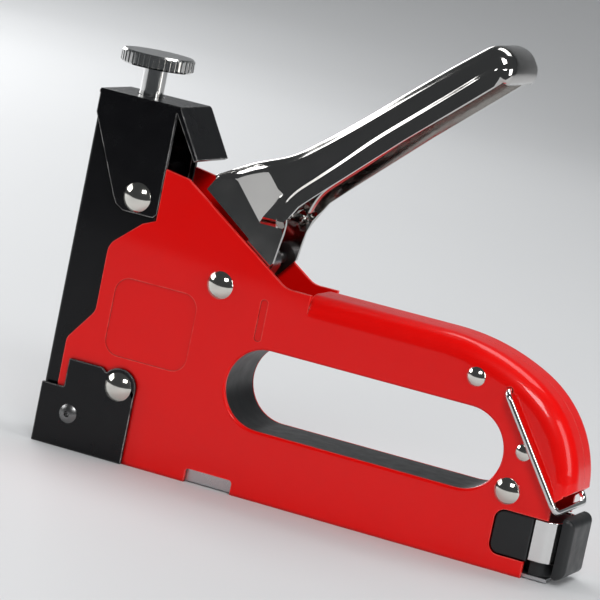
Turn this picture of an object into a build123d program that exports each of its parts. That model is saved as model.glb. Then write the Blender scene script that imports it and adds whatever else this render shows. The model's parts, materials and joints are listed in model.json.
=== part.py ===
from build123d import *
import math
import os

# Manual staple gun: pressed steel shells, tension spring, squeeze lever, wire lock and
# pull-out magazine.
#
# Modelled in millimetres with the nose at X = 0, the handle end towards +X and +Z up, then moved so
# that the origin is at the middle of the base. The gun is symmetric about the plane Y = 0.

# ---------------------------------------------------------------- driving dimensions
OVERALL_LENGTH = 161.4      # nose to the back of the rear cap
BODY_HALF = 11.0            # half width over the two pressed shells
SHEET = 1.2                 # thickness of the pressed steel
BODY_TOP = 60.4             # height of the flat top of the shells
CAP_TOP = 102.4             # height of the spring cap
NOSE_WALL = 1.2             # thickness of the front wall of the nose
GAP = 0.05                  # assembly gap between fixed pieces
FIT = 0.02                  # clearance of a bush or pin in its hole
BEYOND = 20.0               # reach of a cutting tool past the sides of the gun
BEHIND = 170.0              # X past the back of the gun
SEAM = 0.05                 # half the gap between the two shells at the middle

# main axes and pivots, as (X, Z)
PIVOT = (47.4, 56.7)        # squeeze lever
SPRING_X = 11.0             # vertical axis of the main spring and tension screw
BAIL_PIVOT = (136.1, 49.2)  # wire lock
BAIL_BAR = (156.6, 20.4)    # cross bar of the wire lock, folded down

# travels
LEVER_SWING = 42.0          # degrees from open to closed
TENSION_TRAVEL = 5.0        # how far the tension screw can be driven down
BUTTON_TRAVEL = 1.5

# widths of the layers, measured from the middle plane
SHELL_IN = BODY_HALF - SHEET
CHANNEL_OUT = SHELL_IN - GAP
CHANNEL_IN = CHANNEL_OUT - SHEET
ARM_OUT = 9.4
ARM_IN = ARM_OUT - SHEET
GRIP_OUT = 12.5
GRIP_IN = GRIP_OUT - SHEET
LIFTER_HALF = 3.0

# finger slot
SLOT_X = (54.7, 137.9)
SLOT_Z = (19.4, 42.3)
LINER = 1.5

# plunger, lifter and main spring
LIFTER_REACH = 32.0
LIFTER_TIP = 3.4
PLUNGER_BOTTOM = 36.0
PLUNGER_TOP = 54.0
PLUNGER_X = (2.7, 19.2)
PLUNGER_HALF = 8.2
WINDOW_ROOM = 0.5           # room round the tip of the lifter in its window
BLADE_X = (1.55, PLUNGER_X[0] - FIT)
BLADE_Z = (0.8, PLUNGER_TOP - 0.5)
BLADE_HALF = 5.9
BLADE_RIVET_END = 7.0
BLADE_RIVET_Z = (38.6, 51.6)
BLADE_RIVET_R = 1.3
SEAT_BOTTOM = 94.5
SEAT_TOP = 96.5
SEAT_R = 7.8
SPRING_R = 5.6              # to the middle of the wire
SPRING_WIRE = 2.2
SPRING_TURNS = 7

# magazine
TRAY_HALF = 9.5
TRAY_NOSE = (33.0, 8.4)     # in front of this X the tray is only this wide each way
TRAY_SHEET = 0.9
TRAY_FLOOR = (0.3, 1.3)
TRAY_LIP_TOP = 5.2
TRAY_X = (5.0, 157.0)
RAIL_X = (6.0, 138.0)
RAIL_HALF = 4.9
RAIL_WALL = 1.0
RAIL_TOP = 14.2
RAIL_SLOT_HALF = 1.7
FEED_X = (3.2, 138.5)
FEED_HALF = 7.4
FEED_TOP = 17.1
FEED_BOTTOM = 1.6
ROD_Z = 7.6
ROD_R = 1.5
ROD_X = (6.2, 146.0)
PUSHER_X = (7.6, 17.6)
PUSHER_Z = (4.0, 15.9)
PUSHER_HALF = 6.2
COLLAR_X = (8.0, 12.0)
COLLAR_R = 3.3
TRAY_RIVETS = [(153.4, -5.4), (153.4, 5.4)]
TRAY_RIVET_R = 1.2
TRAY_RIVET_TOP = 4.0

# rear latch block
BUTTON_X = (139.7, 150.5)
BUTTON_Y = (-BODY_HALF + 0.1, -5.6)
BUTTON_Z = (4.9, 17.0)
LATCH_NECK = ((138.9, 157.0), 3.6)
LATCH_BACK = ((151.3, 157.0), 9.2)
LATCH_TOP = 16.8
PLATE_X = (150.8, 158.2)
PLATE_Z = (5.4, 17.0)
PLATE_HALF = 10.5
PLATE_SHEET = 1.0
PLATE_CORNER_R = 4.4
LATCH_CORNER_R = 3.8
BUTTON_CORNER_R = 2.7
BUTTON_RIM_R = 0.5
END_START = 158.3           # rear cap
END_HALF = 9.8
END_Z = (1.6, 18.8)
END_BACK_R = 2.6
END_SIDE_R = 1.2


# ---------------------------------------------------------------- helpers
def outline(points):
    """Closed face in the XZ plane from (x, z) corners."""
    return make_face(Polyline(*[(x, 0, z) for x, z in points], close=True))


def face_of(*edges):
    """Closed face in the XZ plane from joined edges."""
    return make_face(Wire(list(edges)))


def slab(face, y_from, y_to):
    """The face, drawn in the XZ plane, made solid between two Y positions."""
    low, high = min(y_from, y_to), max(y_from, y_to)
    return extrude(Pos(0, low, 0) * face, amount=high - low, dir=(0, 1, 0))


def block(x, y, z):
    """Box from (low, high) pairs."""
    size = (x[1] - x[0], y[1] - y[0], z[1] - z[0])
    return Pos((x[0] + x[1]) / 2, (y[0] + y[1]) / 2, (z[0] + z[1]) / 2) * Box(*size)


def pin_y(x, z, radius, y_from=-BEYOND, y_to=BEYOND):
    """Round bar along Y."""
    low, high = min(y_from, y_to), max(y_from, y_to)
    return Pos(x, (low + high) / 2, z) * Rot(90, 0, 0) * Cylinder(radius, high - low)


def pin_x(y, z, radius, x_from, x_to):
    """Round bar along X."""
    return Pos((x_from + x_to) / 2, y, z) * Rot(0, 90, 0) * Cylinder(radius, x_to - x_from)


def pin_z(x, y, radius, z_from, z_to):
    """Round bar along Z."""
    return Pos(x, y, (z_from + z_to) / 2) * Cylinder(radius, z_to - z_from)


def both_sides(solid):
    """The solid and its mirror image across the middle plane."""
    return [solid, solid.mirror(Plane.XZ)]


def round_corners(face, radii):
    """The face with the corners nearest to the given (x, z) points rounded."""
    for (x, z), radius in radii.items():
        corner = min(face.vertices(), key=lambda v: math.hypot(v.X - x, v.Z - z))
        face = fillet(corner, radius)
    return face


def rivet_head(x, z, radius, height, y_face, side):
    """Domed head standing on a face at |Y| = y_face; side is -1 or +1."""
    ball = (radius ** 2 + height ** 2) / (2 * height)
    dome = Pos(x, side * (y_face + height - ball), z) * Sphere(ball)
    return dome & pin_y(x, z, radius, side * y_face, side * (y_face + height + 1))


def through_rivet(x, z, shank, head, height, y_face=BODY_HALF):
    """Rivet right across the gun with a domed head on each side."""
    solid = pin_y(x, z, shank, -y_face, y_face)
    for side in (-1, 1):
        solid += rivet_head(x, z, head, height, y_face, side)
    return solid


def turn_about(point, centre, degrees):
    """(x, z) point turned about a centre, positive from +X towards +Z."""
    a = math.radians(degrees)
    dx, dz = point[0] - centre[0], point[1] - centre[1]
    return (centre[0] + dx * math.cos(a) - dz * math.sin(a),
            centre[1] + dx * math.sin(a) + dz * math.cos(a))


def coil(radius, wire, pitch, length):
    """Round-wire helix standing on Z = 0, measured to the wire's centre."""
    path = Helix(pitch=pitch, height=length, radius=radius)
    section = Plane(origin=path @ 0, z_dir=path % 0) * Circle(wire / 2)
    return sweep(section, path=path, is_frenet=True)


# ---------------------------------------------------------------- rivet positions, as (X, Z)
CAP_RIVET = (17.6, 74.8)
NOSE_RIVET = (23.7, 21.3)
NOSE_EYELET = (10.2, 10.0)
UPPER_RIVET = (126.0, 50.5)
LATCH_RIVET = (141.3, 22.3)
BAIL_STOP = (143.6, 33.7)
BAIL_HOLE_R = 1.0
SHANK = 2.1
SMALL_SHANK = 1.5
LEVER_SHANK = 3.0

# rivet heads, as (radius, height)
LEVER_HEAD = (3.95, 1.8)
NOSE_HEAD = (4.1, 1.8)
CAP_HEAD = (4.2, 1.9)
UPPER_HEAD = (2.7, 1.2)
LATCH_HEAD = (3.7, 1.7)
STOP_HEAD = (2.3, 0.9)
EYELET_HEAD = (2.7, 0.9)
EYELET_HOLLOW = (0.9, 0.4)  # radius and depth
SPACER_END = 0.9            # from the end of a spacer tube to the shell
SPACER_WALL = 1.4

# ---------------------------------------------------------------- shells
TOP_ARC_START = 113.0
TOP_ARC_R = 62.0
TOP_ARC_DEG = 27.0
REAR_ARC_R = 33.0
RIM_START = 74.0
RIM_R = 6.0
REAR_END_Z = 26.2
TAIL_SLOPE = (158.9, 4.2)   # X where the back edge turns in, and how far it drops there
NOTCH_X = 139.4
NOTCH_R = 3.0
NOTCH_Z = (4.6, 17.3)
LOWER_LIP_END = 150.0
BOTTOM_NOTCH_X = (48.2, 62.6)
BOTTOM_NOTCH_TOP = 4.0
BOTTOM_NOTCH_R = 1.0
SHELL_TAIL_X = 154.4
SHELL_TOE_X = 14.0
SHELL_FRONT = [(24.7, 84.5), (31.8, 83.4), (66.8, BODY_TOP)]
SHELL_NOSE = [(14.0, 16.9), (4.8, 16.9), (4.8, 31.0), (11.9, 40.4), (11.9, 60.0), (20.8, 67.9),
              (24.7, 69.6)]
SHELL_FRONT_RADII = {(31.8, 83.4): 3.0, (66.8, BODY_TOP): 6.0, (4.8, 31.0): 3.0, (11.9, 40.4): 4.0,
                     (11.9, 60.0): 5.0, (4.8, 16.9): 1.0}
SLOT_EDGE_R = 0.8           # rounding of the slot's pressed edge
PANEL_X = (16.5, 42.0)      # shallow pressed panel below the spring tower
PANEL_Z = (29.5, 52.0)
PANEL_R = 4.5
GROOVE_X = (60.4, 62.6)     # short pressed groove in front of the slot
GROOVE_Z = (44.0, 56.0)
GROOVE_R = 1.0
PRESS_DEPTH = 0.3


def rear_profile(inset, below, front_x):
    """Rear half of the shell's side outline, drawn in by inset along the top and the back."""
    top = BODY_TOP - inset
    r1, r2 = TOP_ARC_R - inset, REAR_ARC_R - inset
    a = math.radians(TOP_ARC_DEG)
    joint = (TOP_ARC_START + r1 * math.sin(a), top - r1 + r1 * math.cos(a))
    centre = (joint[0] - r2 * math.sin(a), joint[1] - r2 * math.cos(a))
    mid1 = (TOP_ARC_START + r1 * math.sin(a / 2), top - r1 + r1 * math.cos(a / 2))
    half = (math.pi / 2 - a) / 2
    mid2 = (centre[0] + r2 * math.cos(half), centre[1] + r2 * math.sin(half))
    back = centre[0] + r2
    arc1 = ThreePointArc((TOP_ARC_START, 0, top), (mid1[0], 0, mid1[1]), (joint[0], 0, joint[1]))
    arc2 = ThreePointArc((joint[0], 0, joint[1]), (mid2[0], 0, mid2[1]), (back, 0, centre[1]))
    rest = Polyline((back, 0, centre[1]), (back, 0, below), (front_x, 0, below), (front_x, 0, top),
                    (TOP_ARC_START, 0, top))
    return face_of(arc1, arc2, *rest.edges())


def rear_cup(inset, below, front_x, y_outer, radius):
    """Half body of the rear, with its top and back edge rounded towards the side face."""
    solid = slab(rear_profile(inset, below, front_x), -y_outer, 0)
    edges = [e for e in solid.edges().filter_by_position(Axis.Y, -y_outer - 0.01, -y_outer + 0.01)
             if e.center().Z > below + 1 and e.center().X > front_x + 1]
    return fillet(edges, radius)


def tail_cut():
    """Space behind and below the rounded back of the shell."""
    turn_x, drop = TAIL_SLOPE
    face = outline([(BEHIND, REAR_END_Z), (turn_x, REAR_END_Z), (SHELL_TAIL_X, REAR_END_Z - drop),
                    (SHELL_TAIL_X, -BEYOND), (BEHIND, -BEYOND)])
    return slab(face, -BEYOND, 0)


def front_plate():
    """Flat front half of the shell, from under the spring cap to the middle of the body."""
    split = RIM_START + 0.5
    face = outline(SHELL_FRONT + [(split, BODY_TOP), (split, 0), (SHELL_TOE_X, 0)] + SHELL_NOSE)
    return slab(round_corners(face, SHELL_FRONT_RADII), -BODY_HALF, -SHELL_IN)


def slot_face(grow=0.0):
    """Long round-ended slot, grown all round."""
    r = (SLOT_Z[1] - SLOT_Z[0]) / 2 + grow
    zc = (SLOT_Z[0] + SLOT_Z[1]) / 2
    x0, x1 = SLOT_X[0] - grow + r, SLOT_X[1] + grow - r
    return face_of(Line((x0, 0, zc - r), (x1, 0, zc - r)),
                   ThreePointArc((x1, 0, zc - r), (x1 + r, 0, zc), (x1, 0, zc + r)),
                   Line((x1, 0, zc + r), (x0, 0, zc + r)),
                   ThreePointArc((x0, 0, zc + r), (x0 - r, 0, zc), (x0, 0, zc - r)))


def rounded_panel(x, z, radius, depth):
    """Shallow recess in the left face of the shell, with rounded corners."""
    face = outline([(x[0], z[0]), (x[1], z[0]), (x[1], z[1]), (x[0], z[1])])
    return slab(fillet(face.vertices(), radius), -BEYOND, -BODY_HALF + depth)


def rear_notch():
    """Window at the back of each shell for the pinch button, open to the rear."""
    low, high = NOTCH_Z
    face = outline([(NOTCH_X, low), (BEHIND, low), (BEHIND, high), (NOTCH_X, high)])
    corners = [v for v in face.vertices() if v.X < NOTCH_X + 1]
    return slab(fillet(corners, NOTCH_R), -BEYOND, 0)


def bottom_notch():
    """Small window in the lower edge of the shell, below the front of the slot."""
    low, high = BOTTOM_NOTCH_X
    face = outline([(low, -1), (high, -1), (high, BOTTOM_NOTCH_TOP), (low, BOTTOM_NOTCH_TOP)])
    corners = [v for v in face.vertices() if v.Z > 0]
    return slab(fillet(corners, BOTTOM_NOTCH_R), -BEYOND, 0)


def left_shell():
    """Pressed half body: flat in front, cupped behind, with its slot, windows and rivet holes."""
    outer = rear_cup(0, 0, RIM_START, BODY_HALF, RIM_R)
    inner = rear_cup(SHEET, -5, RIM_START - 5, SHELL_IN, RIM_R - SHEET)
    shell = outer - inner - tail_cut()
    shell -= block((SHELL_TAIL_X - 8, BEHIND), (-SHELL_IN, 0), (-5, REAR_END_Z - 1.5))
    shell -= block((RIM_START - 5, BEHIND), (-SEAM, 1), (-5, BODY_TOP + 5))
    shell += front_plate()
    shell -= slab(slot_face(), -BEYOND, 0)
    slot_edges = [e for e in shell.edges().filter_by_position(Axis.Y, -BODY_HALF - 0.01, -BODY_HALF + 0.01)
                  if SLOT_X[0] - 0.1 < e.center().X < SLOT_X[1] + 0.1
                  and SLOT_Z[0] - 0.1 < e.center().Z < SLOT_Z[1] + 0.1]
    shell = fillet(slot_edges, SLOT_EDGE_R)
    shell -= rounded_panel(PANEL_X, PANEL_Z, PANEL_R, PRESS_DEPTH)
    shell -= rounded_panel(GROOVE_X, GROOVE_Z, GROOVE_R, PRESS_DEPTH)
    shell -= rear_notch()
    shell -= block((LOWER_LIP_END, BEHIND), (-BEYOND, 0), (-1, NOTCH_Z[0] + 0.1))
    shell -= bottom_notch()
    for x, z, r in [(*PIVOT, LEVER_SHANK), (*NOSE_RIVET, SHANK), (*UPPER_RIVET, SMALL_SHANK),
                    (*LATCH_RIVET, SHANK), (*BAIL_STOP, SMALL_SHANK), (*BAIL_PIVOT, BAIL_HOLE_R)]:
        shell -= pin_y(x, z, r, -BEYOND, -5)
    return shell


def slot_liner():
    """Black plastic sleeve that lines the finger slot between the shells."""
    sleeve = slab(slot_face(LINER), -SHELL_IN + GAP, SHELL_IN - GAP)
    return sleeve - slab(slot_face(), -BEYOND, BEYOND)


# ---------------------------------------------------------------- nose and spring cap
CHANNEL_SIDE = [(0, 0), (31, 0), (31, 28), (23.6, 33), (23.6, 101.1), (0, 101.1)]
CHANNEL_R = 1.0
NOSE_PLATE = [(0.4, 0), (28.9, 0), (28.9, 21.3), (23.7, 21.3), (17.8, 25.6), (7.4, 25.6),
              (7.4, 17.3), (0.4, 17.3)]
NOSE_PLATE_BUMP = 5.3       # radius of the plate about the nose rivet
NOSE_FILL_TOP = 16.8        # top of the inner step of the plate, in front of the shell
NOSE_FRONT = 0.4
CAP_FLANGE_TOP = CAP_TOP - 3.0
CAP_FLANGE = [(0.3, CAP_FLANGE_TOP), (0.3, 95.6), (10.4, 73.5), (11.6, 71.6), (14.0, 70.2),
              (23.4, 70.2), (24.5, 71.3), (24.5, CAP_FLANGE_TOP)]
CAP_WEB_X = (0, 25.0)
CAP_SHOULDER_X = (0.3, 24.5)
CAP_EDGE_R = 1.0
GUARD_START = 25.2          # sloping guard behind the cap
GUARD_RUN = (8.2, 13.4)
NOSE_BLOCK = ((3.1, 30.0), (17.6, 29.9))
STOP_X = (3.4, 19.2)
STOP_Z = (29.95, PLUNGER_BOTTOM - GAP)
STOP_HALF = 8.0
STOP_R = 1.5


def front_channel():
    """Folded steel channel that is the front of the gun and guides the plunger."""
    channel = slab(outline(CHANNEL_SIDE), -CHANNEL_OUT, CHANNEL_OUT)
    channel -= block((NOSE_WALL, 40), (-CHANNEL_IN, CHANNEL_IN), (-1, CAP_TOP))
    corners = [e for e in channel.edges().filter_by(Axis.Z) if e.center().X < 0.01]
    channel = fillet(corners, CHANNEL_R)
    return channel - pin_y(*NOSE_RIVET, SHANK) - pin_y(*CAP_RIVET, SHANK)


def left_nose_plate():
    """Cover plate low on the side of the nose, rounded about the nose rivet."""
    round_end = Pos(NOSE_RIVET[0], 0, NOSE_RIVET[1]) * Rot(90, 0, 0) * Circle(NOSE_PLATE_BUMP)
    solid = slab(outline(NOSE_PLATE) + round_end, -BODY_HALF - SHEET, -BODY_HALF - GAP)
    solid += block((NOSE_FRONT, SHELL_TOE_X - GAP), (-BODY_HALF - GAP, -SHELL_IN), (0, NOSE_FILL_TOP))
    solid -= pin_y(*NOSE_RIVET, SHANK, -BEYOND, 0)
    solid -= pin_y(*NOSE_EYELET, SMALL_SHANK, -BEYOND, -BODY_HALF - GAP)
    return solid


def spring_cap():
    """Folded bracket over the top of the nose, with a sloping guard at the back."""
    solid = block(CAP_WEB_X, (-BODY_HALF, BODY_HALF), (CAP_TOP - SHEET, CAP_TOP))
    solid += block(CAP_SHOULDER_X, (-BODY_HALF, BODY_HALF), (CAP_FLANGE_TOP, CAP_TOP))
    solid -= block((-1, GUARD_START + 5), (-SHELL_IN, SHELL_IN), (CAP_FLANGE_TOP - 1, CAP_TOP - SHEET))
    for side in (-1, 1):
        solid += slab(outline(CAP_FLANGE), side * SHELL_IN, side * BODY_HALF)
    foot = (GUARD_START + GUARD_RUN[0], CAP_TOP - GUARD_RUN[1])
    guard = outline([(GUARD_START - SHEET, CAP_TOP), (GUARD_START, CAP_TOP), foot,
                     (foot[0] - 1.0, foot[1] - 0.7), (GUARD_START - 0.9, CAP_TOP - 1.6)])
    solid += slab(guard, -BODY_HALF, BODY_HALF)
    solid -= pin_z(SPRING_X, 0, SCREW_R + 0.5, CAP_FLANGE_TOP, CAP_TOP + 5)
    solid -= pin_y(*CAP_RIVET, SHANK)
    edges = [e for e in solid.edges().filter_by(Axis.X)
             if abs(abs(e.center().Y) - BODY_HALF) < 0.01 and e.center().Z > CAP_TOP - 0.01]
    return fillet(edges, CAP_EDGE_R)


def nose_block():
    """Steel block behind the driver blade that carries the rubber stop."""
    x, z = NOSE_BLOCK
    solid = block(x, (-CHANNEL_IN + GAP, CHANNEL_IN - GAP), z)
    return solid - pin_y(*NOSE_RIVET, SHANK)


def rubber_stop():
    """Cushion that the plunger lands on."""
    solid = block(STOP_X, (-STOP_HALF, STOP_HALF), STOP_Z)
    return fillet(solid.edges().filter_by(Axis.Z), STOP_R)


def nose_eyelets():
    """Small rivet with a hollow head on each side of the nose."""
    x, z = NOSE_EYELET
    outer_face = BODY_HALF + SHEET
    body = pin_y(x, z, SMALL_SHANK, -outer_face, -BODY_HALF - GAP)
    head = rivet_head(x, z, *EYELET_HEAD, outer_face, -1)
    hollow = pin_y(x, z, EYELET_HOLLOW[0], -BEYOND, -outer_face + EYELET_HOLLOW[1])
    return Compound(children=both_sides(body + head - hollow))


def cap_rivets():
    """Rivet on each side through the spring cap and the channel, flush inside."""
    x, z = CAP_RIVET
    solid = pin_y(x, z, SHANK, -BODY_HALF, -CHANNEL_IN) + rivet_head(x, z, *CAP_HEAD, BODY_HALF, -1)
    return Compound(children=both_sides(solid))


# ---------------------------------------------------------------- tension screw
KNOB_Z = (110.6, 114.6)
KNOB_R = 10.5
SCREW_R = 3.4
KNOB_EDGE = 0.6
KNURLS = 40
KNURL_R = 0.42
KNURL_RING = KNOB_R + 0.12  # radius of the circle of the knurl centres
NUT_R = 6.0
NUT_BOTTOM = 97.2
SCREW_TOP = KNOB_Z[0] + 2.5


def cap_nut():
    """Nut fixed under the cap, in which the tension screw turns."""
    face = Pos(SPRING_X, 0, NUT_BOTTOM) * RegularPolygon(NUT_R, 6)
    nut = extrude(face, amount=CAP_TOP - SHEET - GAP - NUT_BOTTOM)
    return nut - pin_z(SPRING_X, 0, SCREW_R + GAP, NUT_BOTTOM - 1, CAP_TOP)


def tension_knob():
    """Knurled round knob on top of the screw."""
    knob = pin_z(SPRING_X, 0, KNOB_R, *KNOB_Z)
    knob = chamfer(knob.edges().filter_by(GeomType.CIRCLE), KNOB_EDGE)
    grooves = Part()
    for i in range(KNURLS):
        a = 2 * math.pi * i / KNURLS
        grooves += pin_z(SPRING_X + KNURL_RING * math.cos(a), KNURL_RING * math.sin(a), KNURL_R,
                         KNOB_Z[0] - 1, KNOB_Z[1] + 1)
    return knob - grooves - pin_z(SPRING_X, 0, SCREW_R, KNOB_Z[0] - 1, SCREW_TOP)


def tension_screw():
    """Long screw from the knob down to the spring seat."""
    solid = pin_z(SPRING_X, 0, SCREW_R, SEAT_TOP + FIT, SCREW_TOP)
    return chamfer(solid.edges().sort_by(Axis.Z)[0], KNOB_EDGE)


def spring_seat():
    """Disc pressed down on the main spring by the screw."""
    disc = pin_z(SPRING_X, 0, SEAT_R, SEAT_BOTTOM, SEAT_TOP)
    boss = pin_z(SPRING_X, 0, SPRING_R - SPRING_WIRE / 2 - 0.3, SEAT_BOTTOM - 2.5, SEAT_BOTTOM)
    return disc + boss


def main_spring():
    """Compression spring that drives the plunger down."""
    length = SEAT_BOTTOM - PLUNGER_TOP - SPRING_WIRE - 2 * GAP
    turns = coil(SPRING_R, SPRING_WIRE, length / SPRING_TURNS, length)
    return Pos(SPRING_X, 0, PLUNGER_TOP + SPRING_WIRE / 2 + GAP) * turns


# ---------------------------------------------------------------- plunger and driver blade
LIFTER_REST = turn_about((PIVOT[0] - LIFTER_REACH, PIVOT[1]), PIVOT, LEVER_SWING / 2)


def plunger():
    """Hammer block with a window at the back for the lifter."""
    solid = block(PLUNGER_X, (-PLUNGER_HALF, PLUNGER_HALF), (PLUNGER_BOTTOM, PLUNGER_TOP))
    half = LIFTER_HALF + WINDOW_ROOM
    front = PIVOT[0] - LIFTER_REACH - LIFTER_TIP - WINDOW_ROOM
    low = LIFTER_REST[1] - LIFTER_TIP - WINDOW_ROOM
    high = LIFTER_REST[1] + LIFTER_TIP + WINDOW_ROOM
    solid -= block((front, PLUNGER_X[1] + 5), (-half, half), (low, high))
    for height in BLADE_RIVET_Z:
        solid -= pin_x(0, height, BLADE_RIVET_R, 0, BLADE_RIVET_END)
    return solid


def driver_blade():
    """Flat blade on the front of the plunger that drives the staple."""
    solid = block(BLADE_X, (-BLADE_HALF, BLADE_HALF), BLADE_Z)
    for height in BLADE_RIVET_Z:
        solid -= pin_x(0, height, BLADE_RIVET_R, 0, BLADE_RIVET_END)
    return solid


def blade_rivets():
    """Pair of rivets that hold the blade on the plunger."""
    pins = []
    for height in BLADE_RIVET_Z:
        pins.append(pin_x(0, height, BLADE_RIVET_R, BLADE_X[0] + 0.1, BLADE_RIVET_END))
    return Compound(children=pins)


# ---------------------------------------------------------------- squeeze lever
BUSH_R = 4.2
EYE_R = 7.0
LEVER_TOP = [(38.6, 86.2), (48.2, 91.7), (59.3, 96.6), (67.2, 102.3), (77.7, 111.0), (106.6, 136.4)]
GRIP_START = (108.0, 137.6)         # where the top of the grip reaches the curve of the tip
TIP_CORNERS = [(112.0, 141.1), (118.8, 134.9)]
TIP_RADII = {TIP_CORNERS[0]: 5.0, TIP_CORNERS[1]: 3.5}
TIP_INNER = [(112.0, 139.5), (117.2, 134.8)]
TIP_INNER_RADII = {TIP_INNER[0]: 3.8, TIP_INNER[1]: 2.3}
GRIP_LOWER = [(113.6, 128.6), (70.4, 88.7), (64.6, 83.2), (62.2, 78.6)]
FACET = [(44.9, 87.2), (54.6, 90.9), (60.4, 86.1), (54.6, 76.4)]
FACET_NORMAL = (-0.203, -1, -0.166)
SKIRT = [(54.6, 75.6), (62.1, 78.3), (62.1, 82.5), (54.6, 82.5)]
SKIRT_ORIGIN = (58.0, 75.9)
SKIRT_NORMAL = (0, -0.75, -1)
ARM_REAR = [(63.0, 96.2), (62.2, 78.6), (60.8, 66.0), (53.6, 53.6)]
ARM_FRONT = [(41.2, 59.8), (52.6, 71.0), (37.2, 81.8)]
LIFTER_RIVET = (54.4, 65.2)
LIFTER_RIVET_R = 1.8


def arm_face():
    """Side of the narrow front of the lever, down to the pivot eye."""
    eye = Pos(PIVOT[0], 0, PIVOT[1]) * Rot(90, 0, 0) * Circle(EYE_R)
    return outline(LEVER_TOP[:3] + ARM_REAR + ARM_FRONT) + eye


def grip_face():
    """Side of the wide grip, with a rounded tip."""
    face = outline([FACET[1], *LEVER_TOP[2:], *TIP_CORNERS, *GRIP_LOWER, (55.6, 77.2), FACET[2]])
    return round_corners(face, TIP_RADII)


def strip_below(points, depth):
    """Band of the given depth under a line of (x, z) points."""
    lower = [(x + depth * 0.5, z - depth) for x, z in points]
    return outline(points + lower[::-1])


def tilted_sheet(corners, origin, normal):
    """Part of a tilted flat sheet inside an outline; origin is an (x, z) point of its outer face."""
    plane = Plane(origin=(origin[0], -ARM_OUT, origin[1]), z_dir=normal)
    sheet = plane * Pos(0, 0, -SHEET / 2) * Box(80, 80, SHEET)
    return slab(outline(corners), -GRIP_OUT, -ARM_IN) & sheet


def tip_sheet():
    """Curved end of the grip, across its whole width."""
    outer = outline([(107.4, 137.0), *TIP_CORNERS, (115.9, 131.4), (108.0, 130.0)])
    inner = outline([(106.7, 134.8), *TIP_INNER, (113.7, 130.5), (106.0, 128.0)])
    face = round_corners(outer, TIP_RADII) - round_corners(inner, TIP_INNER_RADII)
    return slab(face, -GRIP_OUT, GRIP_OUT)


def lever_handle():
    """Pressed channel: narrow front between the shells, wider grip outside them."""
    arm = slab(arm_face(), -ARM_OUT, -ARM_IN)
    arm -= pin_y(*PIVOT, BUSH_R + FIT) + pin_y(*LIFTER_RIVET, LIFTER_RIVET_R)
    grip = slab(grip_face(), -GRIP_OUT, -GRIP_IN)
    facet = tilted_sheet([FACET[0], FACET[1], (62.0, 90.0), (62.0, 86.0), FACET[3]], FACET[0], FACET_NORMAL)
    skirt = tilted_sheet(SKIRT, SKIRT_ORIGIN, SKIRT_NORMAL)
    shoulder = outline([(54.2, 90.2), (54.2, 93.9), LEVER_TOP[2], (60.6, 94.0)])
    side = arm + grip + facet + skirt + slab(shoulder, -GRIP_OUT, -ARM_IN)
    narrow_web = slab(strip_below(LEVER_TOP[:3], SHEET), -ARM_OUT, ARM_OUT)
    wide_web = slab(strip_below(LEVER_TOP[2:] + [GRIP_START], SHEET), -GRIP_OUT, GRIP_OUT)
    return side + side.mirror(Plane.XZ) + narrow_web + wide_web + tip_sheet()


def lifter_arm():
    """Thick arm inside the lever that lifts the plunger."""
    neck = 2.3
    hub = 6.6
    root = 0.9 * hub
    a, b = LIFTER_REST, PIVOT
    length = math.hypot(b[0] - a[0], b[1] - a[1])
    ux, uz = (b[0] - a[0]) / length, (b[1] - a[1]) / length
    beam = outline([(a[0] - uz * neck, a[1] + ux * neck), (a[0] + uz * neck, a[1] - ux * neck),
                    (b[0] + uz * root, b[1] - ux * root), (b[0] - uz * root, b[1] + ux * root)])
    tail = outline([(43.4, 61.9), (51.9, 68.6), (58.2, 63.4), (53.6, 53.9)])
    solid = slab(beam, -LIFTER_HALF, LIFTER_HALF) + slab(tail, -LIFTER_HALF, LIFTER_HALF)
    for centre, radius in [(PIVOT, hub), (LIFTER_REST, LIFTER_TIP), (LIFTER_RIVET, 4.2)]:
        solid += pin_y(*centre, radius, -LIFTER_HALF, LIFTER_HALF)
    return solid - pin_y(*PIVOT, BUSH_R + FIT) - pin_y(*LIFTER_RIVET, LIFTER_RIVET_R)


def lifter_rivet():
    """Pin that locks the lifter arm to both sides of the lever."""
    return pin_y(*LIFTER_RIVET, LIFTER_RIVET_R - 0.01, -ARM_OUT, ARM_OUT)


def pivot_bush():
    """Sleeve that turns on the lever rivet."""
    return pin_y(*PIVOT, BUSH_R, -ARM_OUT, ARM_OUT) - pin_y(*PIVOT, LEVER_SHANK + GAP)


def lever_return_spring():
    """Torsion spring round the bush that lifts the lever again."""
    radius, wire, pitch, length = 5.3, 1.1, 1.25, 3.6
    beside_lifter = -LIFTER_HALF - 0.8
    return Pos(PIVOT[0], beside_lifter, PIVOT[1]) * Rot(90, 0, 0) * coil(radius, wire, pitch, length)


# ---------------------------------------------------------------- wire lock
BAIL_WIRE_R = 0.9
BAIL_Y = GRIP_OUT + 0.3 + BAIL_WIRE_R
BAIL_END_Y = 6.5
BAIL_BEND = 2.6


def bail_wire():
    """Bent wire loop that swings over the closed lever."""
    px, pz = BAIL_PIVOT
    bx, bz = BAIL_BAR
    path = FilletPolyline((px, -BAIL_END_Y, pz), (px, -BAIL_Y, pz), (bx, -BAIL_Y, bz),
                          (bx, BAIL_Y, bz), (px, BAIL_Y, pz), (px, BAIL_END_Y, pz), radius=BAIL_BEND)
    section = Plane(origin=path @ 0, z_dir=path % 0) * Circle(BAIL_WIRE_R)
    return sweep(section, path=path)


# ---------------------------------------------------------------- magazine
def feed_channel():
    """Fixed guide over the staples."""
    inner = FEED_HALF - TRAY_SHEET
    solid = block(FEED_X, (-FEED_HALF, FEED_HALF), (FEED_BOTTOM, FEED_TOP))
    return solid - block((-1, BEHIND), (-inner, inner), (-1, FEED_TOP - TRAY_SHEET))


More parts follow.
